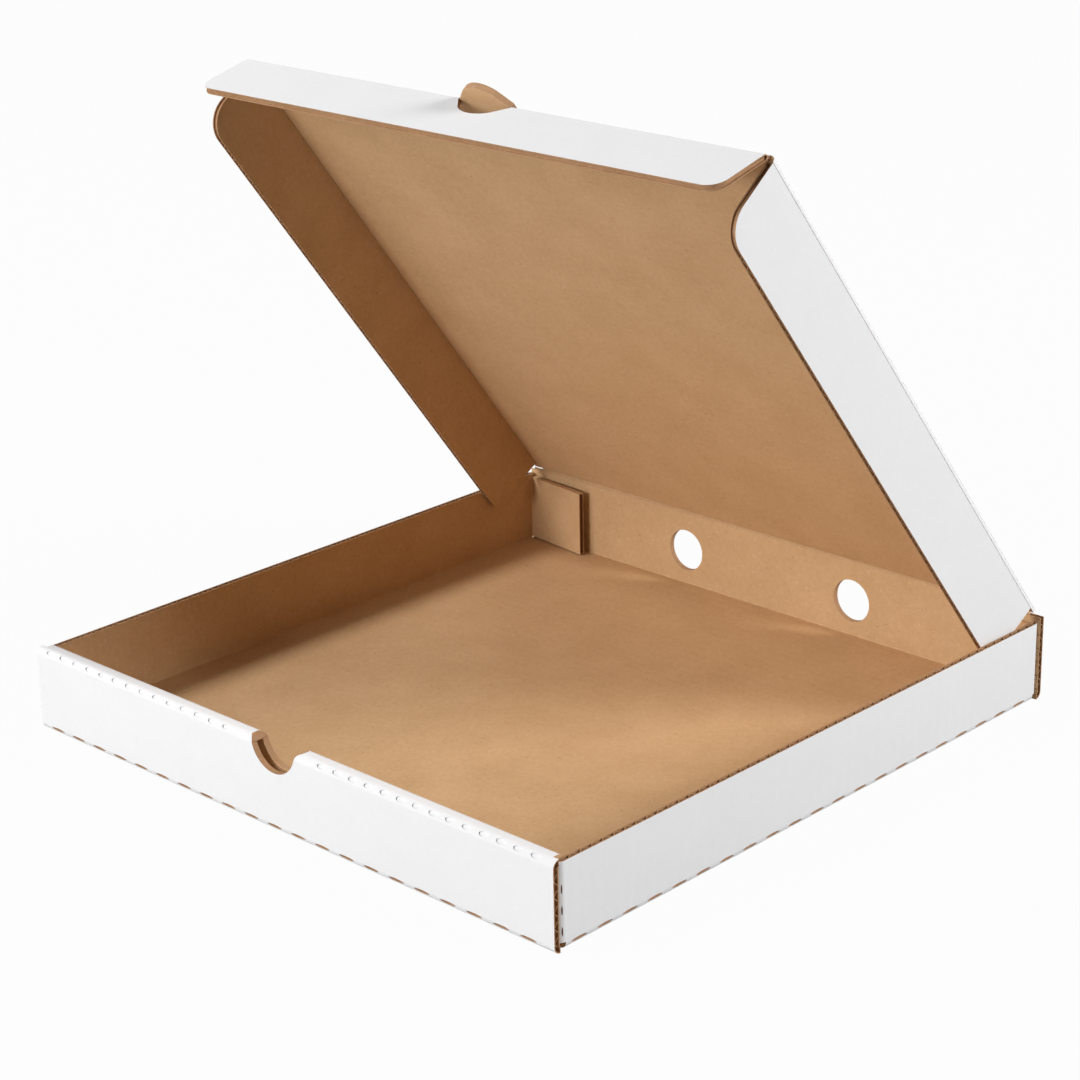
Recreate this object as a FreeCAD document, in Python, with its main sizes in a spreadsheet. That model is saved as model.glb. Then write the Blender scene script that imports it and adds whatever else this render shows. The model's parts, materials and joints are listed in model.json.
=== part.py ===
import FreeCAD
import Part
import math
import os

import Sketcher
from FreeCAD import Placement, Rotation, Vector

# A folding pizza box, erected from one die-cut sheet of corrugated board, with its lid raised.
# Row frame: +Z up, origin at the centre of the base's underside, front wall at -Y, lid hinge at +Y.
# Lengths are in millimetres and angles in degrees.

DRIVING_SIZES = {
    # the sheet
    "board": 3.0,
    "fold_radius": 0.5,
    "ply_gap": 0.2,
    # the tray
    "box_width": 330.0,
    "box_depth": 336.5,
    "front_height": 41.4,
    "side_height": 39.6,
    "corner_flap_length": 38.8,
    "rear_flap_lean": 6.3,
    "flap_head_gap": 0.4,
    "flap_foot_gap": 0.7,
    # holes and cut-outs of the tray
    "notch_radius": 14.0,
    "notch_depth": 13.2,
    "notch_shoulder": 3.5,
    "vent_diameter": 22.0,
    "vent_pitch": 108.2,
    "vent_height": 21.2,
    "lock_tab_width": 24.0,
    "lock_tab_pitch": 160.0,
    "lock_tab_lift": 0.4,
    "relief_length": 7.5,
    # the creases that turn
    "crease_gap": 0.35,
    "crease_land": 0.3,
    "lid_clearance": 0.3,
    # the lid
    "lid_angle": 52.4,
    "lid_depth": 318.1,
    "lid_side_gap": 0.4,
    "lid_narrowing": 4.3,
    "lid_relief_gap": 0.3,
    # the lid's flaps
    "side_flap_height": 35.7,
    "side_flap_start": 5.6,
    "side_flap_rear_slant": 4.4,
    "side_flap_end_gap": 2.1,
    "side_flap_corner": 13.0,
    "side_flap_heel": 4.0,
    "front_flap_angle": 67.0,
    "front_flap_height": 33.0,
    "front_flap_inset": 2.3,
    "front_flap_corner": 8.0,
    # the tuck tab, cut from the front flap and level with the lid
    "tab_width": 30.6,
    "tab_crown_width": 18.0,
    "tab_root": 2.2,
    "tab_shoulder": 9.0,
    "tab_radius": 15.0,
    "tab_gap": 0.4,
}

doc = FreeCAD.newDocument("pizza_box")


class Size:
    """A number that also carries its spreadsheet formula, so that what is worked out from it stays bound."""

    def __init__(self, value, formula):
        self.value = float(value)
        self.formula = formula

    def join(self, other, sign, value, swap=False):
        other = as_size(other)
        left, right = (other, self) if swap else (self, other)
        return Size(value(left.value, right.value), f"({left.formula} {sign} {right.formula})")

    def __add__(self, other):
        return self.join(other, "+", lambda a, b: a + b)

    def __radd__(self, other):
        return self.join(other, "+", lambda a, b: a + b, swap=True)

    def __sub__(self, other):
        return self.join(other, "-", lambda a, b: a - b)

    def __rsub__(self, other):
        return self.join(other, "-", lambda a, b: a - b, swap=True)

    def __mul__(self, other):
        return self.join(other, "*", lambda a, b: a * b)

    def __rmul__(self, other):
        return self.join(other, "*", lambda a, b: a * b, swap=True)

    def __truediv__(self, other):
        return self.join(other, "/", lambda a, b: a / b)

    def __neg__(self):
        return Size(-self.value, f"(0 - {self.formula})")


def as_size(number):
    return number if isinstance(number, Size) else Size(number, repr(float(number)))


def sine(angle):
    return Size(math.sin(math.radians(angle.value)), f"sin({angle.formula} * 1deg)")


def cosine(angle):
    return Size(math.cos(math.radians(angle.value)), f"cos({angle.formula} * 1deg)")


def root(number):
    return Size(math.sqrt(number.value), f"sqrt({number.formula})")


def driving_sheet():
    """The spreadsheet of driving sizes, and each of them as a bound Size."""
    sheet = doc.addObject("Spreadsheet::Sheet", "dims")
    for row, (name, value) in enumerate(DRIVING_SIZES.items(), start=1):
        sheet.set(f"A{row}", name)
        sheet.set(f"B{row}", str(value))
        sheet.setAlias(f"B{row}", name)
    doc.recompute()
    return {name: Size(sheet.get(name), f"dims.{name}") for name in DRIVING_SIZES}


def bind(feature, prop, size):
    """Sets a property of a feature, and ties it to the sheet."""
    setattr(feature, prop, size.value)
    feature.setExpression(prop, size.formula)


def origin_plane(body, role):
    return next(item for item in body.Origin.OriginFeatures if item.Role == role)


def outline(body, name, role, corners, level=None):
    """A closed sketch on one of the body's own planes. Each corner is (across, up, radius).

    The radius is that of the arc to the next corner, positive where it turns left, or None for a line.
    """
    sketch = body.newObject("Sketcher::SketchObject", name)
    sketch.AttachmentSupport = (origin_plane(body, role), [""])
    sketch.MapMode = "FlatFace"
    if level is not None:
        sketch.AttachmentOffset = Placement(Vector(0, 0, level.value), Rotation())
        sketch.setExpression("AttachmentOffset.Base.z", level.formula)
    corners = [(as_size(across), as_size(up), radius) for across, up, radius in corners]
    points = [Vector(across.value, up.value, 0) for across, up, _ in corners]
    for index, (_, _, radius) in enumerate(corners):
        start, end = points[index], points[(index + 1) % len(points)]
        sketch.addGeometry(side_between(start, end, radius), False)
    last = len(corners) - 1
    for index, (across, up, radius) in enumerate(corners):
        here = start_of(corners, index)
        before = last if index == 0 else index - 1
        sketch.addConstraint(Sketcher.Constraint("Coincident", before, end_of(corners, before), index, here))
        for kind, size in (("DistanceX", across), ("DistanceY", up)):
            number = sketch.addConstraint(Sketcher.Constraint(kind, -1, 1, index, here, size.value))
            sketch.setExpression(f"Constraints[{number}]", size.formula)
        if radius is not None:
            size = radius if radius.value > 0 else -radius
            number = sketch.addConstraint(Sketcher.Constraint("Radius", index, size.value))
            sketch.setExpression(f"Constraints[{number}]", size.formula)
    return sketch


def side_between(start, end, radius):
    """A straight side, or the shorter arc of the given radius, turning left where the radius is positive."""
    if radius is None:
        return Part.LineSegment(start, end)
    chord = end.sub(start)
    reach = math.sqrt(max(radius.value**2 - (chord.Length / 2) ** 2, 0.0))
    left = Vector(-chord.y, chord.x, 0).normalize()
    turn = 1 if radius.value > 0 else -1
    centre = start.add(chord.multiply(0.5)).add(left.multiply(turn * reach))
    first, second = (start, end) if turn > 0 else (end, start)
    circle = Part.Circle(centre, Vector(0, 0, 1), abs(radius.value))
    return Part.ArcOfCircle(circle, circle.parameter(first), circle.parameter(second))


def start_of(corners, index):
    """Which end of a side's own geometry lies at its first corner: an arc always runs anticlockwise."""
    radius = corners[index][2]
    return 2 if radius is not None and radius.value < 0 else 1


def end_of(corners, index):
    return 3 - start_of(corners, index)


def pad(body, sketch, length, midplane=False, reverse=False):
    feature = body.newObject("PartDesign::Pad", f"{sketch.Name}_pad")
    feature.Profile = sketch
    bind(feature, "Length", length)
    feature.Midplane = midplane
    feature.Reversed = reverse
    doc.recompute()
    return feature


def pocket(body, sketch, length, midplane=False, reverse=False):
    """A cut that must take material away."""
    before = body.Shape.Volume
    feature = body.newObject("PartDesign::Pocket", f"{sketch.Name}_pocket")
    feature.Profile = sketch
    bind(feature, "Length", length)
    feature.Midplane = midplane
    feature.Reversed = reverse
    doc.recompute()
    if not body.Shape.Volume < before - 1e-6:
        raise RuntimeError(f"{sketch.Name} cuts nothing")
    return feature


def mirror_across(body, features):
    """The left-hand copies of the right-hand features."""
    feature = body.newObject("PartDesign::Mirrored", f"{features[0].Name}_mirrored")
    feature.Originals = features
    feature.MirrorPlane = (origin_plane(body, "YZ_Plane"), [""])
    body.Tip = feature
    doc.recompute()
    return feature


def edges_where(shape, test):
    """Names of the edges whose every vertex and middle pass the test."""
    found = []
    for number, edge in enumerate(shape.Edges, start=1):
        middle = edge.valueAt((edge.FirstParameter + edge.LastParameter) / 2)
        if all(test(point) for point in [middle, *(vertex.Point for vertex in edge.Vertexes)]):
            found.append(f"Edge{number}")
    return found


def dress(body, kind, name, prop, size, test):
    """A chamfer or a fillet along the edges that pass the test."""
    base = body.Tip
    names = edges_where(base.Shape, test)
    if not names:
        raise RuntimeError(f"{name} finds no edge")
    feature = body.newObject(f"PartDesign::{kind}", name)
    feature.Base = (base, names)
    bind(feature, prop, size)
    doc.recompute()
    return feature


def near(a, b):
    return abs(a - b) < 1e-4


def pinch(body, name, crease_y):
    """Both long edges of a panel's end, cut back so that the board is thin along its crease."""
    half_board = board.value / 2

    def on_crease(point):
        return near(point.y, crease_y) and near(abs(point.z), half_board)

    return dress(body, "Chamfer", name, "Size", crease_chamfer, on_crease)


def new_body(name):
    body = doc.addObject("PartDesign::Body", name)
    body.Label = name
    return body


dims = driving_sheet()
board = dims["board"]
inside_radius = dims["fold_radius"]
outside_radius = inside_radius + board
half_width = dims["box_width"] / 2
half_depth = dims["box_depth"] / 2
fold_height = dims["front_height"] - outside_radius
inner_ply_face = -half_depth + board * 3 + dims["ply_gap"] * 2
side_wall_face = half_width - board
wall_end = half_depth - board - dims["ply_gap"] - outside_radius
flap_foot = board + dims["flap_foot_gap"]
crease_chamfer = (board - dims["crease_land"]) / 2

# The lid turns about the middle of the board at the top of the back wall, where both are pinched thin.
hinge_y = half_depth - board / 2
hinge_z = dims["front_height"] + dims["lid_clearance"] + board / 2
wall_tip = hinge_z - dims["crease_gap"]

# The lid's side flaps turn about the inner corner of their fold, which runs in towards the front.
fold_rear = side_wall_face - dims["lid_side_gap"] - board
fold_front = fold_rear - dims["lid_narrowing"]
lid_front = dims["lid_depth"] - dims["crease_gap"]
narrowing = math.degrees(math.atan2(dims["lid_narrowing"].value, dims["lid_depth"].value))


def floor(body):
    across, deep = half_width - outside_radius, half_depth - outside_radius
    corners = [(-across, -deep, None), (across, -deep, None), (across, deep, None), (-across, deep, None)]
    return pad(body, outline(body, "floor", "XY_Plane", corners), board)


def front_ply(body):
    """The front wall's outer ply, folded up from the floor and round its top, the full width of the box."""
    bend, top = -half_depth + outside_radius, dims["front_height"]
    corners = [
        (-half_depth, fold_height, None),
        (-half_depth, outside_radius, outside_radius),
        (bend, 0, None),
        (bend, board, -inside_radius),
        (-half_depth + board, outside_radius, None),
        (-half_depth + board, fold_height, -inside_radius),
        (bend, top - board, None),
        (bend, top, outside_radius),
    ]
    return pad(body, outline(body, "front_ply", "YZ_Plane", corners), dims["box_width"], midplane=True)


def roll_over(body):
    """The strip over the front wall and the inner ply that hangs from it, between the side walls."""
    top, under = dims["front_height"], dims["front_height"] - board
    first, second = -half_depth + outside_radius, inner_ply_face - outside_radius
    foot = board + dims["ply_gap"]
    corners = [
        (first, under, None),
        (second, under, -inside_radius),
        (inner_ply_face - board, fold_height, None),
        (inner_ply_face - board, foot, None),
        (inner_ply_face, foot, None),
        (inner_ply_face, fold_height, outside_radius),
        (second, top, None),
        (first, top, None),
    ]
    width = (side_wall_face - dims["ply_gap"]) * 2
    return pad(body, outline(body, "roll_over", "YZ_Plane", corners), width, midplane=True)


def back_wall(body):
    """The back wall, folded up from the floor and pinched along its top where the lid turns."""
    bend, inner = half_depth - outside_radius, half_depth - board
    shoulder = wall_tip - crease_chamfer
    corners = [
        (bend, 0, outside_radius),
        (half_depth, outside_radius, None),
        (half_depth, shoulder, None),
        (half_depth - crease_chamfer, wall_tip, None),
        (inner + crease_chamfer, wall_tip, None),
        (inner, shoulder, None),
        (inner, outside_radius, -inside_radius),
        (bend, board, None),
    ]
    return pad(body, outline(body, "back_wall", "YZ_Plane", corners), dims["box_width"], midplane=True)


def side_wall(body):
    bend = half_width - outside_radius
    corners = [
        (bend, 0, outside_radius),
        (half_width, outside_radius, None),
        (half_width, dims["side_height"], None),
        (side_wall_face, dims["side_height"], None),
        (side_wall_face, outside_radius, -inside_radius),
        (bend, board, None),
    ]
    return pad(body, outline(body, "side_wall", "XZ_Plane", corners), wall_end * 2, midplane=True)


def corner_flap(body, name, rear, lean, top):
    """A flap folded in from the end of the right-hand side wall round its own bend, leaning inwards."""
    turn_x = half_width - outside_radius
    along_x, along_y = -cosine(lean), -sine(lean)
    out_x, out_y = -sine(lean), cosine(lean)
    outer = (turn_x + out_x * outside_radius, wall_end + out_y * outside_radius)
    inner = (turn_x + out_x * inside_radius, wall_end + out_y * inside_radius)
    tip_x, tip_y = along_x * dims["corner_flap_length"], along_y * dims["corner_flap_length"]
    corners = [
        (half_width, wall_end, outside_radius),
        (outer[0], outer[1], None),
        (outer[0] + tip_x, outer[1] + tip_y, None),
        (inner[0] + tip_x, inner[1] + tip_y, None),
        (inner[0], inner[1], -inside_radius),
        (side_wall_face, wall_end, None),
    ]
    if not rear:
        corners = mirrored_in_y(corners)
    sketch = outline(body, name, "XY_Plane", corners, level=flap_foot)
    return pad(body, sketch, top - flap_foot)


def corner_root(body, name, rear):
    """The bend at the end of the right-hand side wall, which stands as high as the wall itself."""
    reach = root(outside_radius * outside_radius - board * board)
    corners = [
        (half_width, wall_end, outside_radius),
        (half_width - outside_radius + reach, wall_end + board, None),
        (side_wall_face, wall_end + board, None),
        (side_wall_face, wall_end, None),
    ]
    if not rear:
        corners = mirrored_in_y(corners)
    sketch = outline(body, name, "XY_Plane", corners, level=flap_foot)
    return pad(body, sketch, dims["side_height"] - flap_foot)


def mirrored_in_y(corners):
    """The same outline on the other side of the X axis, walked the other way round."""
    count = len(corners)
    turned = []
    for index in range(count):
        across, up, _ = corners[(count - index) % count]
        radius = corners[(count - index - 1) % count][2]
        turned.append((across, -up, radius))
    return turned


def thumb_notch(body):
    """A half-round notch through both plies of the front wall, its shoulders rounded into the top."""
    radius, shoulder, top = dims["notch_radius"], dims["notch_shoulder"], dims["front_height"]
    centre = top - dims["notch_depth"] + radius
    rise = centre - (top - shoulder)
    reach = radius + shoulder
    shoulder_x = root(reach * reach - rise * rise)
    touch_x = shoulder_x * radius / reach
    touch_z = centre - rise * radius / reach
    above = top + board
    corners = [
        (-shoulder_x, above, None),
        (-shoulder_x, top, -shoulder),
        (-touch_x, touch_z, radius),
        (0, top - dims["notch_depth"], radius),
        (touch_x, touch_z, -shoulder),
        (shoulder_x, top, None),
        (shoulder_x, above, None),
    ]
    return pocket(body, outline(body, "thumb_notch", "XZ_Plane", corners), half_depth + board, reverse=True)


def vent(body):
    """A round vent through the back wall, cut from the inside out."""
    sketch = body.newObject("Sketcher::SketchObject", "vent")
    sketch.AttachmentSupport = (origin_plane(body, "XZ_Plane"), [""])
    sketch.MapMode = "FlatFace"
    across, up, radius = dims["vent_pitch"] / 2, dims["vent_height"], dims["vent_diameter"] / 2
    sketch.addGeometry(Part.Circle(Vector(across.value, up.value, 0), Vector(0, 0, 1), radius.value), False)
    for kind, size in (("DistanceX", across), ("DistanceY", up)):
        number = sketch.addConstraint(Sketcher.Constraint(kind, -1, 1, 0, 3, size.value))
        sketch.setExpression(f"Constraints[{number}]", size.formula)
    number = sketch.addConstraint(Sketcher.Constraint("Radius", 0, radius.value))
    sketch.setExpression(f"Constraints[{number}]", radius.formula)
    return pocket(body, sketch, half_depth + board)


def rectangle(left, right, low, high):
    return [(left, low, None), (right, low, None), (right, high, None), (left, high, None)]


def lock_slot(body):
    """The slot in the floor that takes one of the inner ply's tabs."""
    gap, middle, half_tab = dims["ply_gap"], dims["lock_tab_pitch"] / 2, dims["lock_tab_width"] / 2
    corners = rectangle(
        middle - half_tab - gap, middle + half_tab + gap, inner_ply_face - board - gap, inner_ply_face + gap
    )
    return pocket(body, outline(body, "lock_slot", "XY_Plane", corners), board, reverse=True)


def lock_tab(body):
    """A tab on the foot of the inner ply, standing in its slot."""
    middle, half_tab = dims["lock_tab_pitch"] / 2, dims["lock_tab_width"] / 2
    corners = rectangle(middle - half_tab, middle + half_tab, inner_ply_face - board, inner_ply_face)
    sketch = outline(body, "lock_tab", "XY_Plane", corners, level=dims["lock_tab_lift"])
    return pad(body, sketch, board + dims["ply_gap"] - dims["lock_tab_lift"])


def hinge_relief(body):
    """The cut at the end of the hinge crease, where the back wall drops to the height of the front."""
    edge = half_width + board
    corners = rectangle(half_width - dims["relief_length"], edge, dims["front_height"], hinge_z + board)
    return pocket(body, outline(body, "hinge_relief", "XZ_Plane", corners), half_depth + board)


def tray():
    """The base: a floor, four walls, a double front wall and the corner flaps, all one folded sheet."""
    body = new_body("tray")
    floor(body)
    front_ply(body)
    roll_over(body)
    back_wall(body)
    flap_top = dims["front_height"] - board - dims["flap_head_gap"]
    right_hand = [
        side_wall(body),
        corner_flap(body, "front_corner_flap", False, as_size(0), flap_top),
        corner_flap(body, "rear_corner_flap", True, dims["rear_flap_lean"], flap_top),
        corner_root(body, "front_corner_root", False),
        corner_root(body, "rear_corner_root", True),
        lock_slot(body),
        lock_tab(body),
        vent(body),
        hinge_relief(body),
    ]
    mirror_across(body, right_hand)
    thumb_notch(body)
    return body


def turned_up(along_y, along_z, angle):
    """A placement turned about a crease that runs along X."""
    return Placement(Vector(0, along_y.value, along_z.value), Rotation(Vector(1, 0, 0), angle.value))


def turn_up(body, along_y, along_z, angle):
    """Puts a body drawn flat round its crease where it belongs, bound to the sheet."""
    body.Placement = turned_up(along_y, along_z, angle)
    body.setExpression("Placement.Base.y", along_y.formula)
    body.setExpression("Placement.Base.z", along_z.formula)
    body.setExpression("Placement.Rotation.Angle", angle.formula)


def lid():
    """The lid panel, with the rounded folds of its side flaps, its pinched creases and the tuck tab.

    It is drawn shut, with its own origin on the hinge line, and then turned up.
    """
    body = new_body("lid")
    rear, front = dims["crease_gap"], lid_front
    rear_x, front_x = fold_rear + board, fold_front + board
    right_side = [(front_x, -front, None), (rear_x, -rear, None)]
    left_side = [(-across, along, None) for across, along, _ in reversed(right_side)]
    panel = outline(body, "lid_panel", "XY_Plane", left_side + right_side)
    pad(body, panel, board, midplane=True)
    pinch(body, "lid_rear_crease", -rear.value)
    pinch(body, "lid_front_crease", -front.value)
    half_board = board.value / 2

    def on_side_fold(point):
        return near(point.z, half_board) and abs(point.x) > fold_front.value + half_board

    dress(body, "Fillet", "lid_side_folds", "Radius", board - dims["ply_gap"] / 2, on_side_fold)
    flap_end = dims["lid_depth"] - dims["side_flap_end_gap"] + dims["lid_relief_gap"]
    corners = rectangle(fold_front, rear_x + board, -front - board, -flap_end)
    relief = pocket(body, outline(body, "front_relief", "XY_Plane", corners), board * 2, midplane=True)
    mirror_across(body, [relief])
    tuck_tab(body)
    turn_up(body, hinge_y, hinge_z, -dims["lid_angle"])
    return body


def tab_corners(spread, crease):
    """The tab's outline beyond a crease, wider all round by the given spread.

    It is straight at its root, where the flap turns past it, then slopes in to a round end.
    """
    half, crown = dims["tab_width"] / 2 + spread, dims["tab_crown_width"] / 2 + spread
    foot, straight_end = board - crease, -crease - dims["tab_root"]
    shoulder = -crease - dims["tab_shoulder"] - spread
    return [
        (-half, foot, None),
        (-half, straight_end, None),
        (-crown, shoulder, dims["tab_radius"] + spread),
        (crown, shoulder, None),
        (half, straight_end, None),
        (half, foot, None),
    ]


def tuck_tab(body):
    """The tuck tab, level with the lid beyond its front crease."""
    sketch = outline(body, "tuck_tab", "XY_Plane", tab_corners(as_size(0), lid_front))
    return pad(body, sketch, board, midplane=True)


def front_flap():
    """The lid's front flap, pinched along its crease and holed where the tuck tab is cut from it."""
    body = new_body("lid_front_flap")
    half_flap = fold_front + board - dims["front_flap_inset"]
    start, end = dims["crease_gap"], dims["front_flap_height"]
    corners = rectangle(-half_flap, half_flap, -end, -start)
    pad(body, outline(body, "front_flap_panel", "XY_Plane", corners), board, midplane=True)
    pinch(body, "front_flap_crease", -start.value)

    def on_free_corner(point):
        return near(point.y, -end.value) and near(abs(point.x), half_flap.value)

    dress(body, "Fillet", "front_flap_corners", "Radius", dims["front_flap_corner"], on_free_corner)
    hole = outline(body, "tab_hole", "XY_Plane", tab_corners(dims["tab_gap"], as_size(0)))
    pocket(body, hole, board * 2, midplane=True)
    reach, rise = dims["lid_depth"], dims["lid_angle"]
    along_y, along_z = hinge_y - reach * cosine(rise), hinge_z + reach * sine(rise)
    turn_up(body, along_y, along_z, dims["front_flap_angle"] - rise)
    return body


def side_flap(name, side):
    """One of the lid's side flaps, square to the lid. Its own frame lies on the inner corner of its fold."""
    body = new_body(name)
    start, end = dims["side_flap_start"], dims["lid_depth"] - dims["side_flap_end_gap"]
    foot = dims["side_flap_height"]
    slant = start + dims["side_flap_rear_slant"]
    top = -dims["ply_gap"]
    corners = [(-end, -foot, None), (-slant, -foot, None), (-start, top, None), (-end, top, None)]
    pad(body, outline(body, f"{name}_panel", "YZ_Plane", corners), board, reverse=side < 0)
    for kind, along in (("corner", end), ("heel", slant)):

        def on_free_corner(point, along=along):
            return near(point.y, -along.value) and near(point.z, -foot.value)

        radius = dims[f"side_flap_{kind}"]
        dress(body, "Fillet", f"{name}_{kind}", "Radius", radius, on_free_corner)
    across = Vector(side * fold_rear.value, 0, -board.value / 2)
    on_lid = Placement(across, Rotation(Vector(0, 0, 1), -side * narrowing))
    body.Placement = turned_up(hinge_y, hinge_z, -dims["lid_angle"]).multiply(on_lid)
    return body


def check(parts):
    """Every object is sound, and each part is one closed solid."""
    doc.recompute()
    for item in doc.Objects:
        if "Invalid" in item.State or "Error" in item.State:
            raise RuntimeError(f"{item.Name} failed: {item.State}")
    for part in parts:
        shape = part.Shape
        if shape.isNull() or not shape.isValid() or len(shape.Solids) != 1:
            raise RuntimeError(f"{part.Label} is not one valid solid")


parts = [
    tray(),
    lid(),
    front_flap(),
    side_flap("lid_left_flap", -1),
    side_flap("lid_right_flap", 1),
]
check(parts)
os.makedirs("parts", exist_ok=True)
for part in parts:
    part.Shape.exportStep(f"parts/{part.Label}.step")
    print(part.Label, round(part.Shape.Volume / 1000, 2), "cm3", len(part.Shape.Faces), "faces")
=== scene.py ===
import json
import math

import bpy
from mathutils import Matrix, Vector

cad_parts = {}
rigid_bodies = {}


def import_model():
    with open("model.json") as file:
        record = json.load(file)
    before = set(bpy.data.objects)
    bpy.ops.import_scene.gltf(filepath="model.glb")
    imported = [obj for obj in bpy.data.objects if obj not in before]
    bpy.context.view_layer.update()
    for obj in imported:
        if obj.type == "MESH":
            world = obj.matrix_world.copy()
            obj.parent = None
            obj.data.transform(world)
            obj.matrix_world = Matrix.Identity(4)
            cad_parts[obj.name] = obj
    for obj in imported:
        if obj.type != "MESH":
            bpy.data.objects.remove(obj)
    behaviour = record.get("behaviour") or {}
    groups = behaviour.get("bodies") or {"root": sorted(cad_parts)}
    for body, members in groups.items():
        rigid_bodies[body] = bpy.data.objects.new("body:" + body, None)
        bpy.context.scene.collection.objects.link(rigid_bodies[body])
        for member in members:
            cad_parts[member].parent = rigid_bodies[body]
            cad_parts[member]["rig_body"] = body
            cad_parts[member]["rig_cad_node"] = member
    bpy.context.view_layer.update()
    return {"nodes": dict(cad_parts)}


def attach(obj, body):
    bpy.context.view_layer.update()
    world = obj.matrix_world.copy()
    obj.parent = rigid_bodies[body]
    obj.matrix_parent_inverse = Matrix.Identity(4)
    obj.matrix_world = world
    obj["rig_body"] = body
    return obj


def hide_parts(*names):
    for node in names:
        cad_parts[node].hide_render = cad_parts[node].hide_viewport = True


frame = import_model()

# The box stands on z = 0 with its front wall at -Y and its lid hinged at +Y. Lengths are in metres.

MM = 0.001

# The board, its raw edges and the waved paper in its core
BOARD = 3.0 * MM
LINER = 0.5 * MM
CORE_PAPER = 0.3 * MM
CORE_DEPTH = 2.2 * MM
CORE_SINK = 0.1 * MM
CORE_INSET = 0.02 * MM
RIM_DEPTH = 0.9 * MM
OPEN_FLUTE = 4.5 * MM
FLUTE_PITCH = 6.6 * MM
WAVE_STEPS = 8
WALL_END_TRIM = 0.86

# The tray
HALF_WIDTH = 165.0 * MM
HALF_DEPTH = 168.25 * MM
FRONT_HEIGHT = 41.4 * MM
SIDE_HEIGHT = 39.6 * MM
INNER_PLY = -158.85 * MM
BEND_SIDE = 161.5 * MM
BEND_CORNER = 161.55 * MM
BEND_FOOT = 3.5 * MM
BEND_TOP = 37.9 * MM
VENT_ASIDE = 54.1 * MM
VENT_HEIGHT = 21.2 * MM
VENT_REACH = 12 * MM
NOTCH_REACH = 24 * MM
NOTCH_FOOT = 20 * MM
NOTCH_TOP = FRONT_HEIGHT - 0.1 * MM

# Where the tray's outer faces and raw edges lie
FRONT_FACE = -162.5 * MM
REAR_FACES = 140 * MM
WALL_ENDS = 164.4 * MM
WALL_CORNER = 160 * MM
SIDE_TOP_INNER = 161.9 * MM
SIDE_TOP_END = 164 * MM
SIDE_TOP_MIDDLE = 161 * MM
REAR_FLAP_END = (115 * MM, 135 * MM)
REAR_FLAP_WIDTH = (115 * MM, 158 * MM)
REAR_FLAP_DEPTH = (145 * MM, 165 * MM)
REAR_FLAP_TOP = 30 * MM

# The lid and its front flap
HINGE = Vector((0, 166.75, 43.2)) * MM
LID_ANGLE = math.radians(52.4)
FRONT_FLAP_ANGLE = math.radians(67.0)
LID_DEPTH = 318.1 * MM
LID_UP = Vector((0, -math.cos(LID_ANGLE), math.sin(LID_ANGLE)))
LID_OUT = Vector((0, math.sin(LID_ANGLE), math.cos(LID_ANGLE)))
LID_FRONT = HINGE + LID_UP * LID_DEPTH
LID_FOLD = HALF_WIDTH - 8 * MM
FLAP_CREASE = 2 * MM
TAB_HALF_WIDTH = 20 * MM
TAB_REACH = 25 * MM

# Each row of slits in a crease: the length of a slit, its pitch, width and depth
TOP_CUTS = (5.0 * MM, 9.6 * MM, 2.4 * MM, 0.55 * MM)
FOOT_CUTS = (9.4 * MM, 15.2 * MM, 1.5 * MM, 0.8 * MM)
CORNER_CUTS = (4.2 * MM, 9.4 * MM, 0.7 * MM, 0.6 * MM)
CUTTER_CORNERS = 12

# Where the rows run
FOOT_TURN = math.radians(15)
ROW_REACH = HALF_WIDTH - 4 * MM
SIDE_ROW_REACH = HALF_DEPTH - 7 * MM
CORNER_ROW_ASIDE = BEND_SIDE + 3.1 * MM
CORNER_ROW_FRONT = -BEND_CORNER - 1.6 * MM
CORNER_ROW_FOOT = 4 * MM
CORNER_ROW_HEIGHT = SIDE_HEIGHT - 5 * MM
CORNER_ROW_OUT = (0.9, -0.436)
TOP_ROW_INSET = 1.03 * MM
TOP_ROW_GAP = 25 * MM

# Sorting faces: how near a plane counts as on it, and how far a normal agrees with a direction
NEAR = 0.05 * MM
SQUARE = 0.9
MOSTLY = 0.6
HALFWAY = 0.5
ASLANT = 0.3
SLIGHT = 0.1
HARDLY = 0.05

MERGE_REACH = 0.005 * MM
SEAM_REACH = 0.02 * MM
FLAT_ANGLE = math.radians(0.5)
SMOOTH_ANGLE = math.radians(31)

# The camera, from the vanishing lines of the photographed box
CAMERA_AZIMUTH = math.radians(43.918)
CAMERA_ELEVATION = math.radians(20.6026)
CAMERA_ROLL = math.radians(-1.1125)
CAMERA_DISTANCE = 1347.6 * MM
CAMERA_FOCAL_PIXELS = 2851.44
CAMERA_ASIDE_PIXELS = 4.2263
CAMERA_ABOVE_PIXELS = 172.802
CAMERA_CLIP = (0.05, 50.0)
PHOTO_PIXELS = 1080
SENSOR_WIDTH = 36.0

# The lamps: name, azimuth (0 is in front, 90 to the right), elevation, size and power
LAMP_DISTANCE = 2.5
LAMP_TARGET = Vector((0, 0, 0.1))
LAMPS = (
    ("front_low", -6, 10, 0.8, 31),
    ("key", -26, 27, 0.8, 14),
    ("front_left", -42, 42, 0.8, 30),
    ("left", -95, 55, 1.0, 7),
    ("right", 116, 27, 1.0, 59),
)

# The table, white to the camera but for a trace of shadow
TABLE_SIZE = 12.0
TABLE_DROP = -0.05 * MM
TABLE_GREY = (0.3, 0.3, 0.3, 1)
TABLE_ROUGHNESS = 0.7
TABLE_GLOW = 0.97
PLAIN_WHITE = (1, 1, 1, 1)

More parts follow.
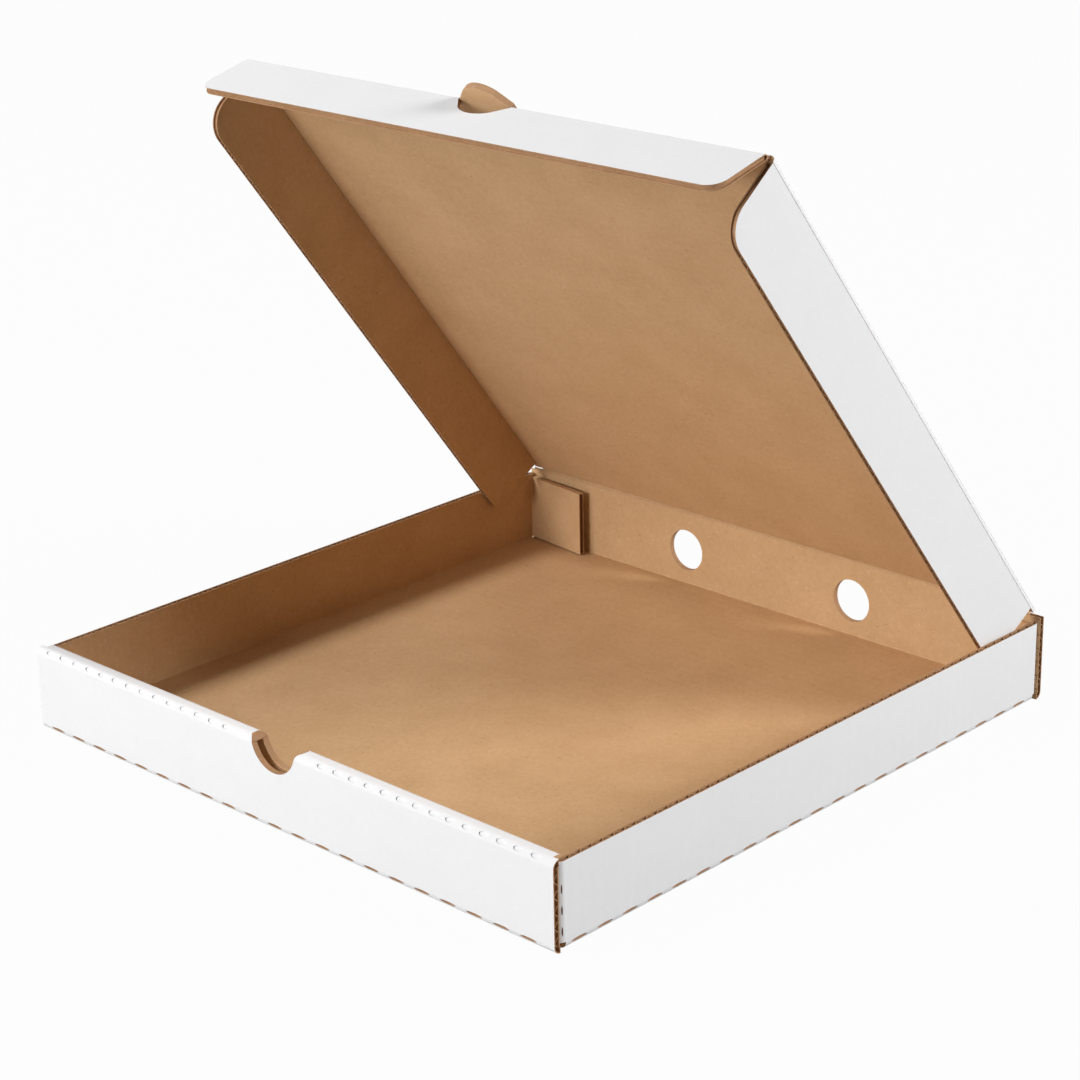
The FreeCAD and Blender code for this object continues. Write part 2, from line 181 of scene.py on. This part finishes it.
# The papers: share of dark specks, wash of the flutes under the liner, and height of the relief
WHITE = {
    "base": (0.77, 0.77, 0.777, 1),
    "cloud": (0.745, 0.745, 0.752, 1),
    "speck": (0.6, 0.59, 0.58, 1),
    "speck_share": 0.10,
    "wash": 0.5,
    "relief": 0.03 * MM,
}
KRAFT = {
    "base": (0.60, 0.385, 0.208, 1),
    "cloud": (0.51, 0.315, 0.157, 1),
    "speck": (0.25, 0.12, 0.05, 1),
    "speck_share": 0.6,
    "wash": 0.35,
    "relief": 0.05 * MM,
}
# The raw edge and the core paper: the board's own darker brown core, darkened further as painted shade of the
# cut edges
EDGE_WITH_PAINTED_SHADE = {
    "base": (0.42, 0.245, 0.13, 1),
    "cloud": (0.34, 0.185, 0.09, 1),
    "speck": (0.14, 0.06, 0.025, 1),
    "speck_share": 0.6,
    "wash": 0.0,
    "relief": 0.1 * MM,
}
PALE_FIBRE = (1, 0.95, 0.88, 1)
PALE_SHARE = 0.16
PAPER_SPECULAR = 0.25
RELIEF_STRENGTH = 0.6

# The grains of the paper: scale, detail and roughness of the noise, then the range of it that shows
CLOUDS = (38.0, 4.0, 0.55, 0.3, 0.7)
FINE_CLOUDS = (420.0, 3.0, 0.6, 0.3, 0.72)
DARK_SPECKS = (900.0, 2.0, 0.5, 0.66, 0.74)
PALE_SPECKS = (700.0, 2.0, 0.5, 0.64, 0.76)
FIBRES = (1500.0, 2.0, 0.6)
CLOUD_SHARE = 0.55
FINE_CLOUD_SHARE = 0.45
CLOUD_HEIGHT = 0.2
FIBRE_HEIGHT = 0.25
PAPER_ROUGHNESS = (0.62, 0.8)


# Shader building

def new_material(name):
    material = bpy.data.materials.new(name)
    material.use_nodes = True
    return material, material.node_tree.nodes["Principled BSDF"]


def new_group(name, inputs, outputs):
    """A shader node group with named sockets. Inputs are (name, type, default)."""
    group = bpy.data.node_groups.new(name, "ShaderNodeTree")
    for label, kind, default in inputs:
        socket = group.interface.new_socket(label, in_out="INPUT", socket_type=kind)
        if default is not None:
            socket.default_value = default
    for label, kind in outputs:
        group.interface.new_socket(label, in_out="OUTPUT", socket_type=kind)
    start = group.nodes.new("NodeGroupInput")
    end = group.nodes.new("NodeGroupOutput")
    return group, start, end


def node(tree, kind, **settings):
    made = tree.nodes.new(kind)
    for key, value in settings.items():
        setattr(made, key, value)
    return made


def feed(tree, target, value):
    """Links a socket to another socket, or sets it to a plain value."""
    if isinstance(value, bpy.types.NodeSocket):
        tree.links.new(value, target)
    else:
        target.default_value = value


def math_node(tree, operation, *values, clamp=False):
    made = node(tree, "ShaderNodeMath", operation=operation, use_clamp=clamp)
    for index, value in enumerate(values):
        feed(tree, made.inputs[index], value)
    return made.outputs[0]


def noise_node(tree, vector, scale, detail, roughness):
    made = node(tree, "ShaderNodeTexNoise")
    feed(tree, made.inputs["Vector"], vector)
    feed(tree, made.inputs["Scale"], scale)
    feed(tree, made.inputs["Detail"], detail)
    feed(tree, made.inputs["Roughness"], roughness)
    return made.outputs["Fac"]


def range_node(tree, value, low, high, to_low=0.0, to_high=1.0):
    made = node(tree, "ShaderNodeMapRange", clamp=True)
    for label, number in (("From Min", low), ("From Max", high), ("To Min", to_low), ("To Max", to_high)):
        feed(tree, made.inputs[label], number)
    feed(tree, made.inputs["Value"], value)
    return made.outputs["Result"]


def grain_node(tree, vector, scale, detail, roughness, low, high):
    return range_node(tree, noise_node(tree, vector, scale, detail, roughness), low, high)


def mix_colour(tree, share, first, second):
    made = node(tree, "ShaderNodeMix", data_type="RGBA", blend_type="MIX")
    feed(tree, made.inputs["Factor"], share)
    feed(tree, made.inputs["A"], first)
    feed(tree, made.inputs["B"], second)
    return made.outputs["Result"]


def paper_group():
    """Paper seen close: clouds, fibres, dark and pale specks, and the faint wash of the flutes under it."""
    group, start, end = new_group(
        "paper",
        [
            ("Vector", "NodeSocketVector", None),
            ("Flutes", "NodeSocketFloat", 0.0),
            ("Base", "NodeSocketColor", (0.8, 0.8, 0.8, 1)),
            ("Cloud", "NodeSocketColor", (0.7, 0.7, 0.7, 1)),
            ("Speck", "NodeSocketColor", (0.2, 0.2, 0.2, 1)),
            ("Speck share", "NodeSocketFloat", 0.5),
            ("Wash", "NodeSocketFloat", 0.3),
        ],
        [("Color", "NodeSocketColor"), ("Height", "NodeSocketFloat"), ("Roughness", "NodeSocketFloat")],
    )
    vector = start.outputs["Vector"]
    clouds = grain_node(group, vector, *CLOUDS)
    fine_clouds = grain_node(group, vector, *FINE_CLOUDS)
    specks = grain_node(group, vector, *DARK_SPECKS)
    pale = grain_node(group, vector, *PALE_SPECKS)
    cloudy = math_node(group, "MULTIPLY", clouds, CLOUD_SHARE)
    cloudy = math_node(group, "ADD", cloudy, math_node(group, "MULTIPLY", fine_clouds, FINE_CLOUD_SHARE))
    colour = mix_colour(group, cloudy, start.outputs["Base"], start.outputs["Cloud"])
    speck_share = math_node(group, "MULTIPLY", specks, start.outputs["Speck share"])
    colour = mix_colour(group, speck_share, colour, start.outputs["Speck"])
    pale_share = math_node(group, "MULTIPLY", pale, PALE_SHARE)
    colour = mix_colour(group, pale_share, colour, PALE_FIBRE)
    group.links.new(colour, end.inputs["Color"])
    fibre = noise_node(group, vector, *FIBRES)
    wave = math_node(group, "SINE", start.outputs["Flutes"])
    height = math_node(group, "MULTIPLY", wave, start.outputs["Wash"])
    height = math_node(group, "ADD", height, math_node(group, "MULTIPLY", fibre, FIBRE_HEIGHT))
    height = math_node(group, "ADD", height, math_node(group, "MULTIPLY", clouds, CLOUD_HEIGHT))
    group.links.new(height, end.inputs["Height"])
    roughness = range_node(group, fine_clouds, 0.0, 1.0, *PAPER_ROUGHNESS)
    group.links.new(roughness, end.inputs["Roughness"])
    return group


def paper_material(name, group, across, base, cloud, speck, speck_share, wash, relief):
    """One paper of the board. The flutes under it repeat along the given direction."""
    material, shader = new_material(name)
    tree = material.node_tree
    place = node(tree, "ShaderNodeTexCoord").outputs["Object"]
    along = node(tree, "ShaderNodeVectorMath", operation="DOT_PRODUCT")
    feed(tree, along.inputs[0], place)
    feed(tree, along.inputs[1], across)
    phase = math_node(tree, "MULTIPLY", along.outputs["Value"], 2 * math.pi / FLUTE_PITCH)
    paper = node(tree, "ShaderNodeGroup", node_tree=group)
    for label, value in (
        ("Vector", place),
        ("Flutes", phase),
        ("Base", base),
        ("Cloud", cloud),
        ("Speck", speck),
        ("Speck share", speck_share),
        ("Wash", wash),
    ):
        feed(tree, paper.inputs[label], value)
    bump = node(tree, "ShaderNodeBump")
    feed(tree, bump.inputs["Distance"], relief)
    feed(tree, bump.inputs["Strength"], RELIEF_STRENGTH)
    feed(tree, bump.inputs["Height"], paper.outputs["Height"])
    feed(tree, shader.inputs["Normal"], bump.outputs["Normal"])
    feed(tree, shader.inputs["Base Color"], paper.outputs["Color"])
    feed(tree, shader.inputs["Roughness"], paper.outputs["Roughness"])
    shader.inputs["Specular IOR Level"].default_value = PAPER_SPECULAR
    return material


def board_materials(part, group, across):
    """The white liner, the brown liner and the raw edge, with the flutes lying one way. The raw edge's darker
    brown is partly painted shade.
    """
    return [
        paper_material(f"{part}_white_liner", group, across, **WHITE),
        paper_material(f"{part}_kraft_liner", group, across, **KRAFT),
        paper_material(f"{part}_raw_edge", group, across, **EDGE_WITH_PAINTED_SHADE),
    ]


# Working on a piece of board. Its material slots say which side of the sheet a face is on.

OUTER, INNER, RAW = 0, 1, 2


def make_active(piece):
    bpy.ops.object.select_all(action="DESELECT")
    bpy.context.view_layer.objects.active = piece
    piece.select_set(True)


def apply_modifier(piece, kind, **settings):
    modifier = piece.modifiers.new(kind.lower(), kind)
    for key, value in settings.items():
        setattr(modifier, key, value)
    make_active(piece)
    bpy.ops.object.modifier_apply(modifier=modifier.name)


def repeat_along(piece, count, pitch, **settings):
    """Repeats a piece along X."""
    apply_modifier(
        piece,
        "ARRAY",
        count=count,
        use_relative_offset=False,
        use_constant_offset=True,
        constant_offset_displace=(pitch, 0, 0),
        **settings,
    )


def start_copy(source, name, materials, side_of):
    """A merged copy of a node to work on, its faces sorted into liner and edge."""
    bpy.ops.object.select_all(action="DESELECT")
    copy = frame["nodes"][source].copy()
    copy.data = copy.data.copy()
    copy.name = name
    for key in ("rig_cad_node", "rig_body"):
        del copy[key]
    copy.parent = None
    bpy.context.scene.collection.objects.link(copy)
    make_active(copy)
    bpy.ops.object.mode_set(mode="EDIT")
    bpy.ops.mesh.select_all(action="SELECT")
    bpy.ops.mesh.remove_doubles(threshold=MERGE_REACH)
    bpy.ops.mesh.dissolve_limited(angle_limit=FLAT_ANGLE)
    bpy.ops.object.mode_set(mode="OBJECT")
    copy.data.materials.clear()
    for material in materials:
        copy.data.materials.append(material)
    for face in copy.data.polygons:
        face.material_index = side_of(face.center, face.normal)
    return copy


def finish_copy(copy, source):
    """Flat panels shade flat and bends shade round, and the piece moves with the node it stands for."""
    make_active(copy)
    bpy.ops.object.shade_smooth_by_angle(angle=SMOOTH_ANGLE)
    apply_modifier(copy, "WEIGHTED_NORMAL", mode="FACE_AREA", weight=100, keep_sharp=True)
    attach(copy, frame["nodes"][source]["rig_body"])
    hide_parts(source)


def raw_faces(piece, test):
    return [
        face for face in piece.data.polygons if face.material_index == RAW and test(face.center, face.normal)
    ]


def raw_face(piece, test):
    """The largest raw face that a test picks: its middle, its three ways, its length and its width."""
    face = max(raw_faces(piece, test), key=lambda item: item.area)
    points = [piece.data.vertices[index].co.copy() for index in face.vertices]
    sides = [points[index] - points[index - 1] for index in range(len(points))]
    along = max(sides, key=lambda side: side.length).normalized()
    out = face.normal.copy()
    across = out.cross(along)
    middle, lengths = out * points[0].dot(out), []
    for way in (along, across):
        places = [point.dot(way) for point in points]
        middle += way * (min(places) + max(places)) / 2
        lengths.append(max(places) - min(places))
    return middle, along, across, out, lengths[0], lengths[1]


def select_faces(piece, indices):
    make_active(piece)
    bpy.ops.object.mode_set(mode="EDIT")
    bpy.ops.mesh.select_mode(type="FACE")
    bpy.ops.mesh.select_all(action="DESELECT")
    bpy.ops.object.mode_set(mode="OBJECT")
    for index in indices:
        piece.data.polygons[index].select = True
    bpy.ops.object.mode_set(mode="EDIT")


def hollow_edges(piece, test, depth):
    """Sinks the core of the board between its two liners along the raw faces that a test picks."""
    select_faces(piece, [face.index for face in raw_faces(piece, test)])
    bpy.ops.mesh.inset(thickness=LINER)
    bpy.ops.mesh.inset(thickness=CORE_INSET, depth=-depth)
    bpy.ops.object.mode_set(mode="OBJECT")


def lift_column(strip, place, height):
    """Moves the vertices of a strip that stand at one place along it."""
    bpy.ops.mesh.select_all(action="DESELECT")
    bpy.ops.object.mode_set(mode="OBJECT")
    for vertex in strip.data.vertices:
        vertex.select = abs(vertex.co.x - place) < NEAR
    bpy.ops.object.mode_set(mode="EDIT")
    bpy.ops.transform.translate(value=(0, 0, height))


def put_in_place(piece, start, x_way, y_way, z_way):
    """Moves and turns a piece made at the origin to its place, and rests its own origin there again."""
    turn = Matrix((x_way, y_way, z_way)).transposed().to_4x4()
    piece.matrix_world = Matrix.Translation(start) @ turn
    make_active(piece)
    bpy.ops.object.transform_apply(location=True, rotation=True, scale=True)


def make_flutes(piece, place, trim=1.0):
    """Stands the waved core paper in a hollowed face that cuts across the flutes."""
    middle, along, across, out, length, width = place
    length = length * trim - 2 * LINER
    count = max(round(length / FLUTE_PITCH), 1)
    pitch = length / count
    rise = width / 2 - LINER
    bpy.ops.object.select_all(action="DESELECT")
    bpy.ops.mesh.primitive_grid_add(x_subdivisions=WAVE_STEPS, y_subdivisions=1, size=1)
    strip = bpy.context.object
    strip.name = f"{piece.name}_flutes"
    strip.scale = (pitch, CORE_DEPTH, 1)
    bpy.ops.object.transform_apply(location=False, rotation=False, scale=True)
    bpy.ops.object.mode_set(mode="EDIT")
    bpy.ops.mesh.select_mode(type="VERT")
    for step in range(WAVE_STEPS + 1):
        share = step / WAVE_STEPS
        lift_column(strip, (share - 0.5) * pitch, rise * math.sin(2 * math.pi * share))
    bpy.ops.mesh.select_all(action="SELECT")
    bpy.ops.transform.translate(value=(pitch / 2 - length / 2, -CORE_DEPTH / 2 - CORE_SINK, 0))
    bpy.ops.object.mode_set(mode="OBJECT")
    repeat_along(strip, count, pitch, use_merge_vertices=True, merge_threshold=SEAM_REACH)
    apply_modifier(strip, "SOLIDIFY", thickness=CORE_PAPER, offset=0)
    put_in_place(strip, middle, along, out, across)
    strip.data.materials.append(piece.data.materials[RAW])
    make_active(piece)
    strip.select_set(True)
    bpy.ops.object.join()


def perforate(piece, start, end, out, side, cuts):
    """Cuts a row of short slits into a crease, from point to point, with walls like one side of the sheet."""
    cut, pitch, width, depth = cuts
    along = (end - start).normalized()
    count = int((end - start).length / pitch)
    bpy.ops.object.select_all(action="DESELECT")
    bpy.ops.mesh.primitive_cylinder_add(vertices=CUTTER_CORNERS, radius=0.5, depth=1)
    cutter = bpy.context.object
    cutter.scale = (cut, width, depth * 2)
    bpy.ops.object.transform_apply(location=False, rotation=False, scale=True)
    repeat_along(cutter, count, pitch)
    cutter.data.materials.append(piece.data.materials[side])
    put_in_place(cutter, start + along * pitch / 2, along, out.cross(along), out)
    apply_modifier(
        piece, "BOOLEAN", object=cutter, operation="DIFFERENCE", solver="EXACT", material_mode="TRANSFER"
    )
    bpy.data.objects.remove(cutter)


# Which faces are where

def between(value, ends):
    return ends[0] < value < ends[1]


def is_wall_top(centre, normal):
    return normal.z > SQUARE and abs(centre.x) > SIDE_TOP_MIDDLE


def is_wall_end(centre, normal):
    return abs(normal.x) > SQUARE and abs(centre.x) > WALL_CORNER and abs(centre.y) > WALL_ENDS


def is_cut_across(centre, normal):
    return is_wall_top(centre, normal) or is_wall_end(centre, normal)


def towards(test, x_way, y_way):
    """The same test on one side of the box only. A way of 0 leaves that direction open."""
    return lambda centre, normal: test(centre, normal) and centre.x * x_way >= 0 and centre.y * y_way >= 0


def is_rear_flap_end(centre, normal):
    sideways = abs(normal.x) > SQUARE
    return sideways and between(abs(centre.x), REAR_FLAP_END) and centre.y > REAR_FLAP_DEPTH[0]


def is_rear_flap_top(centre, normal):
    upwards = normal.z > SQUARE and centre.z > REAR_FLAP_TOP
    return upwards and between(abs(centre.x), REAR_FLAP_WIDTH) and between(centre.y, REAR_FLAP_DEPTH)


def in_vent(centre, normal):
    aside = abs(abs(centre.x) - VENT_ASIDE)
    return abs(normal.y) < ASLANT and aside < VENT_REACH and abs(centre.z - VENT_HEIGHT) < VENT_REACH


def in_notch(centre, normal):
    inside = abs(centre.x) < NOTCH_REACH and NOTCH_FOOT < centre.z < NOTCH_TOP
    return inside and abs(normal.y) < ASLANT


def is_free_edge(centre, normal):
    """Whether a raw face of the lid's front flap is on its rim, away from the crease and the tab's hole."""
    reach = Vector((0, centre.y, centre.z)) - LID_FRONT
    return reach.length > FLAP_CREASE and (abs(centre.x) > TAB_HALF_WIDTH or reach.length > TAB_REACH)


def tray_side(centre, normal):
    """Which side of the sheet a face of the tray is on."""
    x, y, z = abs(centre.x), centre.y, centre.z
    in_back_wall = y > HALF_DEPTH - BOARD - NEAR
    in_front_wall = y < INNER_PLY + NEAR
    if x > HALF_WIDTH - NEAR and abs(normal.x) > SQUARE and abs(y) > WALL_ENDS:
        return RAW
    if z > SIDE_HEIGHT - NEAR and normal.z > SQUARE and x > SIDE_TOP_INNER and abs(y) < SIDE_TOP_END:
        return RAW
    if is_rear_flap_end(centre, normal) or is_rear_flap_top(centre, normal):
        return RAW
    if in_back_wall and in_vent(centre, normal) or in_front_wall and in_notch(centre, normal):
        return RAW
    if in_back_wall and z > SIDE_HEIGHT and normal.z > SLIGHT:
        return RAW if x > WALL_CORNER else OUTER if normal.y > -SLIGHT else INNER
    if in_front_wall and z > BEND_TOP and normal.y > HARDLY and normal.z > -HARDLY:
        return OUTER
    if y < FRONT_FACE and normal.y < -HALFWAY or y > REAR_FACES and normal.y > HALFWAY:
        return OUTER
    if abs(y - INNER_PLY) < NEAR and normal.y > SQUARE:
        return OUTER
    core = Vector(
        (
            min(max(centre.x, -BEND_SIDE), BEND_SIDE),
            min(max(y, -BEND_CORNER), BEND_CORNER),
            min(max(z, BEND_FOOT), BEND_TOP),
        )
    )
    away = centre - core
    if away.length > BOARD and normal.dot(away) > HALFWAY * away.length:
        return OUTER
    return INNER


def lid_side(centre, normal):
    """Which side of the sheet a face of the lid is on. Its side folds turn the white liner outwards."""
    out = normal.dot(LID_OUT)
    in_fold = abs(normal.x) > HALFWAY and abs(centre.x) > LID_FOLD and out > -SQUARE
    if out > ASLANT or in_fold:
        return OUTER
    return INNER if out < -ASLANT else RAW


def front_flap_side(centre, normal):
    lean = FRONT_FLAP_ANGLE - LID_ANGLE
    out = normal.dot(Vector((0, -math.sin(lean), math.cos(lean))))
    if out > ASLANT:
        return OUTER
    return INNER if out < -ASLANT else RAW


def side_flap_side(sign):
    """The sorting rule of one side flap, with its outside towards -X or +X by the sign."""

    def side(centre, normal):
        out = normal.x * sign
        if out > MOSTLY or normal.dot(LID_OUT) > HALFWAY:
            return OUTER
        return INNER if out < -MOSTLY else RAW

    return side


# The details of each piece

def open_wall_edges(tray):
    """Shows the flutes in the tops of the side walls and the ends of the front and back walls."""
    tops = [raw_face(tray, towards(is_wall_top, x_way, 0)) for x_way in (-1, 1)]
    ends = [raw_face(tray, towards(is_wall_end, x_way, y_way)) for x_way in (-1, 1) for y_way in (-1, 1)]
    hollow_edges(tray, is_cut_across, CORE_DEPTH)
    hollow_edges(tray, is_rear_flap_end, OPEN_FLUTE)
    for place in tops:
        make_flutes(tray, place)
    for place in ends:
        make_flutes(tray, place, trim=WALL_END_TRIM)


def cut_creases(tray):
    """Slits along the creases at the foot, at the front corners and over the front wall."""
    foot_out, foot_down = math.cos(FOOT_TURN), math.sin(FOOT_TURN)
    foot_in, foot_level = BEND_FOOT * (1 - foot_out), BEND_FOOT * (1 - foot_down)
    for y_way in (-1, 1):
        start = Vector((-ROW_REACH, y_way * (HALF_DEPTH - foot_in), foot_level))
        end = Vector((ROW_REACH, start.y, foot_level))
        perforate(tray, start, end, Vector((0, y_way * foot_out, -foot_down)), RAW, FOOT_CUTS)
    for x_way in (-1, 1):
        start = Vector((x_way * (HALF_WIDTH - foot_in), -SIDE_ROW_REACH, foot_level))
        end = Vector((start.x, SIDE_ROW_REACH, foot_level))
        perforate(tray, start, end, Vector((x_way * foot_out, 0, -foot_down)), RAW, FOOT_CUTS)
        start = Vector((x_way * CORNER_ROW_ASIDE, CORNER_ROW_FRONT, CORNER_ROW_FOOT))
        end = start + Vector((0, 0, CORNER_ROW_HEIGHT))
        corner_out = Vector((x_way * CORNER_ROW_OUT[0], CORNER_ROW_OUT[1], 0))
        perforate(tray, start, end, corner_out, RAW, CORNER_CUTS)
    slant = math.sqrt(0.5)
    for start_x, end_x in ((-ROW_REACH, -TOP_ROW_GAP), (TOP_ROW_GAP, ROW_REACH)):
        start = Vector((start_x, -HALF_DEPTH + TOP_ROW_INSET, FRONT_HEIGHT - TOP_ROW_INSET))
        end = Vector((end_x, start.y, start.z))
        perforate(tray, start, end, Vector((0, -slant, slant)), OUTER, TOP_CUTS)


def detail_tray(tray):
    open_wall_edges(tray)
    cut_creases(tray)


def detail_front_flap(flap):
    hollow_edges(flap, is_free_edge, RIM_DEPTH)


def detail_side_flap(flap):
    """Opens the whole rim of a side flap and shows the flutes along the free edge."""
    free_edge = raw_face(flap, lambda centre, normal: normal.dot(LID_OUT) < -SQUARE)
    hollow_edges(flap, lambda centre, normal: normal.dot(LID_OUT) < HALFWAY, RIM_DEPTH)
    make_flutes(flap, free_edge)


def dress(source, materials, side_of, add_detail=None):
    """Stands a finished copy of a node in its place."""
    board = start_copy(source, f"{source}_board", materials, side_of)
    if add_detail is not None:
        add_detail(board)
    finish_copy(board, source)


# Floor, light and camera

def camera_axes():
    """The camera's right, up and back directions."""
    flat = math.cos(CAMERA_ELEVATION)
    back = Vector(
        (math.sin(CAMERA_AZIMUTH) * flat, -math.cos(CAMERA_AZIMUTH) * flat, math.sin(CAMERA_ELEVATION))
    )
    right = Vector((0, 0, 1)).cross(back).normalized()
    up = back.cross(right)
    turn_cos, turn_sin = math.cos(CAMERA_ROLL), math.sin(CAMERA_ROLL)
    return right * turn_cos + up * turn_sin, up * turn_cos - right * turn_sin, back


def make_camera():
    right, up, back = camera_axes()
    per_pixel = CAMERA_DISTANCE / CAMERA_FOCAL_PIXELS
    shift = up * CAMERA_ABOVE_PIXELS - right * CAMERA_ASIDE_PIXELS
    data = bpy.data.cameras.new("camera")
    data.sensor_width = SENSOR_WIDTH
    data.lens = CAMERA_FOCAL_PIXELS / PHOTO_PIXELS * SENSOR_WIDTH
    data.clip_start, data.clip_end = CAMERA_CLIP
    camera = bpy.data.objects.new("camera", data)
    bpy.context.scene.collection.objects.link(camera)
    turn = Matrix((right, up, back)).transposed().to_4x4()
    camera.matrix_world = Matrix.Translation(back * CAMERA_DISTANCE + shift * per_pixel) @ turn
    bpy.context.scene.camera = camera


def background_rays(tree):
    """One on the rays that see the white background: from the camera, mirrored or through glass."""
    path = node(tree, "ShaderNodeLightPath")
    seen = math_node(tree, "ADD", path.outputs["Is Camera Ray"], path.outputs["Is Glossy Ray"], clamp=True)
    return math_node(tree, "ADD", seen, path.outputs["Is Transmission Ray"], clamp=True)


def whiten_background(material, share):
    """Shows a surface as white where the background is seen, by a share, and as itself to the light."""
    tree = material.node_tree
    glow = node(tree, "ShaderNodeEmission")
    glow.inputs["Color"].default_value = PLAIN_WHITE
    mix = node(tree, "ShaderNodeMixShader")
    feed(tree, mix.inputs["Fac"], math_node(tree, "MULTIPLY", background_rays(tree), share))
    feed(tree, mix.inputs[1], tree.nodes["Principled BSDF"].outputs[0])
    feed(tree, mix.inputs[2], glow.outputs[0])
    feed(tree, tree.nodes["Material Output"].inputs["Surface"], mix.outputs[0])


def make_floor():
    bpy.ops.mesh.primitive_plane_add(size=TABLE_SIZE, location=(0, 0, TABLE_DROP))
    floor = bpy.context.object
    floor.name = "table"
    material, shader = new_material("table_white")
    shader.inputs["Base Color"].default_value = TABLE_GREY
    shader.inputs["Roughness"].default_value = TABLE_ROUGHNESS
    whiten_background(material, TABLE_GLOW)
    floor.data.materials.append(material)


def make_world():
    """No light of its own, and white where the background is seen."""
    world = bpy.data.worlds.new("studio")
    bpy.context.scene.world = world
    world.use_nodes = True
    tree = world.node_tree
    background = tree.nodes["Background"]
    background.inputs["Color"].default_value = PLAIN_WHITE
    feed(tree, background.inputs["Strength"], background_rays(tree))


def area_light(name, azimuth, elevation, size, power):
    """A soft round lamp that faces the object from the given azimuth and elevation, in degrees."""
    turn, height = math.radians(azimuth), math.radians(elevation)
    flat = math.cos(height)
    direction = Vector((math.sin(turn) * flat, -math.cos(turn) * flat, math.sin(height)))
    data = bpy.data.lights.new(name, "AREA")
    data.shape = "DISK"
    data.size = size
    data.energy = power
    lamp = bpy.data.objects.new(name, data)
    bpy.context.scene.collection.objects.link(lamp)
    lamp.location = LAMP_TARGET + direction * LAMP_DISTANCE
    lamp.rotation_mode = "QUATERNION"
    lamp.rotation_quaternion = direction.to_track_quat("Z", "Y")


paper_nodes = paper_group()
tray_materials = board_materials("tray", paper_nodes, (0, 1, 0))
lid_materials = board_materials("lid", paper_nodes, LID_UP)
dress("tray", tray_materials, tray_side, detail_tray)
dress("lid", lid_materials, lid_side)
dress("lid_front_flap", lid_materials, front_flap_side, detail_front_flap)
dress("lid_left_flap", lid_materials, side_flap_side(-1), detail_side_flap)
dress("lid_right_flap", lid_materials, side_flap_side(1), detail_side_flap)
make_camera()
make_floor()
make_world()
for lamp_settings in LAMPS:
    area_light(*lamp_settings)
bpy.context.scene.view_settings.view_transform = "Standard"
